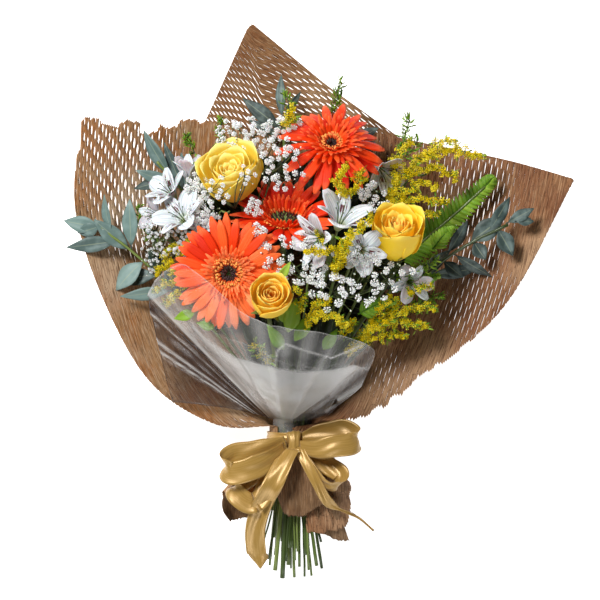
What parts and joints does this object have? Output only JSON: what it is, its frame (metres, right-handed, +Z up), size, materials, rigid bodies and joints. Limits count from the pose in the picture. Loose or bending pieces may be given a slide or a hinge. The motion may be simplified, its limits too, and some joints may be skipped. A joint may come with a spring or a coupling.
{
  "type": "mixed flower bouquet",
  "caption": "Mixed bouquet of gerberas, roses, alstroemeria, baby's breath and greens in a slit kraft and clear film wrap, tied with a satin bow.",
  "frame": {"origin": "middle of the bounding box's footprint, on the table the bouquet lies on", "axes": "+Y from the cut stems to the blooms, +Z up from the table to the faces of the blooms, +X to the right seen from above with the blooms away from the viewer"},
  "size_m": [0.4596, 0.5162, 0.1913],
  "materials": {
    "kraft_paper": "matte",
    "clear_film": "gloss",
    "satin_ribbon": "satin",
    "twine": "matte",
    "gerbera_petal": "satin",
    "rose_petal": "satin",
    "alstroemeria_petal": "satin",
    "babys_breath": "matte",
    "goldenrod": "matte",
    "eucalyptus_leaf": "matte",
    "fern_leaf": "matte",
    "green_stem": "satin"
  },
  "bodies": {
    "root": {"alstroemeria_left_lower": "alstroemeria_petal", "alstroemeria_left_lower_stem": "green_stem", "alstroemeria_left_upper": "alstroemeria_petal", "alstroemeria_left_upper_stem": "green_stem", "alstroemeria_low": "alstroemeria_petal", "alstroemeria_low_stem": "green_stem", "alstroemeria_middle": "alstroemeria_petal", "alstroemeria_middle_stem": "green_stem", "alstroemeria_right": "alstroemeria_petal", "alstroemeria_right_stem": "green_stem", "alstroemeria_top": "alstroemeria_petal", "alstroemeria_top_stem": "green_stem", "babys_breath_centre": "babys_breath", "babys_breath_left": "babys_breath", "babys_breath_middle": "babys_breath", "babys_breath_over_rose": "babys_breath", "babys_breath_right": "babys_breath", "babys_breath_top": "babys_breath", "binding_twine": "twine", "cellophane_inner": "clear_film", "cellophane_outer": "clear_film", "eucalyptus_left": "eucalyptus_leaf", "eucalyptus_right": "eucalyptus_leaf", "eucalyptus_top": "eucalyptus_leaf", "eucalyptus_upper_left": "eucalyptus_leaf", "fern_right": "fern_leaf", "gerbera_front": "gerbera_petal", "gerbera_front_stem": "green_stem", "gerbera_middle": "gerbera_petal", "gerbera_middle_stem": "green_stem", "gerbera_top": "gerbera_petal", "gerbera_top_stem": "green_stem", "goldenrod_ball": "goldenrod", "goldenrod_centre": "goldenrod", "goldenrod_left": "goldenrod", "goldenrod_low_centre": "goldenrod", "goldenrod_low_front": "goldenrod", "goldenrod_low_right": "goldenrod", "goldenrod_right_middle": "goldenrod", "goldenrod_right_top": "goldenrod", "green_tip_right": "fern_leaf", "green_tip_top": "fern_leaf", "kraft_sheet_back": "kraft_paper", "kraft_sheet_left": "kraft_paper", "kraft_sheet_right": "kraft_paper", "ribbon_band": "satin_ribbon", "ribbon_knot": "satin_ribbon", "ribbon_loop_left_lower": "satin_ribbon", "ribbon_loop_left_upper": "satin_ribbon", "ribbon_loop_right_lower": "satin_ribbon", "ribbon_loop_right_upper": "satin_ribbon", "ribbon_tail_left": "satin_ribbon", "ribbon_tail_right": "satin_ribbon", "rose_front": "rose_petal", "rose_front_stem": "green_stem", "rose_left": "rose_petal", "rose_left_stem": "green_stem", "rose_right": "rose_petal", "rose_right_stem": "green_stem"}
  },
  "joints": []
}
